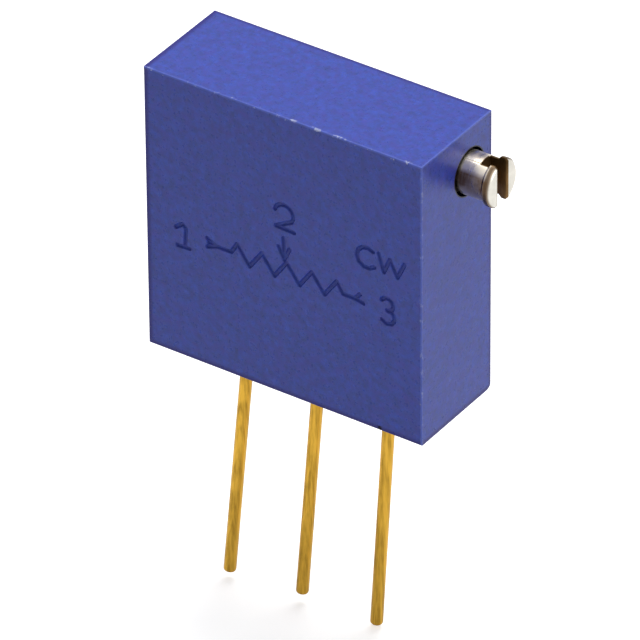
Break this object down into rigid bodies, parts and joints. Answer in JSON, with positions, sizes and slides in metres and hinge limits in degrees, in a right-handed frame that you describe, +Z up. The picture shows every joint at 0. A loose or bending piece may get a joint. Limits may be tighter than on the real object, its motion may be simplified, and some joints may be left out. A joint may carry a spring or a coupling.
{
  "type": "trimmer potentiometer",
  "caption": "Square moulded trimmer potentiometer, side adjusted by a slotted worm screw that turns an inner wiper, with three round pins in line for a circuit board.",
  "frame": {"origin": "centre of the housing's underside, which sits on the circuit board; the pins' row stands below it at mid-depth", "axes": "+Z up from the board, +X along the pin row from pin 1 to pin 3 and out of the slotted screw head, +Y from the marked front face to the back"},
  "size_m": [0.0141, 0.0048, 0.0232],
  "materials": {
    "housing_plastic": "moulded blue thermosetting plastic, satin",
    "seal_resin": "poured epoxy, dark blue, smooth",
    "screw_metal": "brass with bright nickel plating",
    "oring_rubber": "black seal rubber",
    "clip_metal": "hard bronze sheet",
    "rotor_plastic": "moulded natural nylon",
    "wiper_metal": "gold plated spring sheet",
    "substrate_ceramic": "white alumina, matt",
    "track_ink": "fired resistive ink, dark grey",
    "conductor_ink": "fired silver conductor",
    "pin_metal": "gold plated round wire",
    "solder_metal": "tin solder"
  },
  "bodies": {
    "case": {"housing": "housing_plastic", "base_seal": "seal_resin", "retaining_clip": "clip_metal", "element_substrate": "substrate_ceramic", "resistive_track": "track_ink", "collector_ring": "conductor_ink", "end_conductor_1": "conductor_ink", "end_conductor_3": "conductor_ink", "pin_1": "pin_metal", "pin_2": "pin_metal", "pin_3": "pin_metal", "solder_1": "solder_metal", "solder_2": "solder_metal", "solder_3": "solder_metal"},
    "screw": {"adjustment_screw": "screw_metal", "screw_oring": "oring_rubber"},
    "rotor": {"rotor": "rotor_plastic", "wiper_spring": "wiper_metal"}
  },
  "joints": [
    {"name": "screw_turn", "type": "hinge", "parent": "case", "child": "screw", "pos_m": [0, 0.00084, 0.01076], "axis": [1, 0, 0], "range_deg": [-4500, 4500]},
    {"name": "rotor_turn", "type": "hinge", "parent": "case", "child": "rotor", "pos_m": [0, 0.00084, 0.00635], "axis": [0, 1, 0], "range_deg": [-126, 126]}
  ],
  "couplings": [
    {"joint": "rotor_turn", "follows": "screw_turn", "ratio": -0.027778}
  ]
}
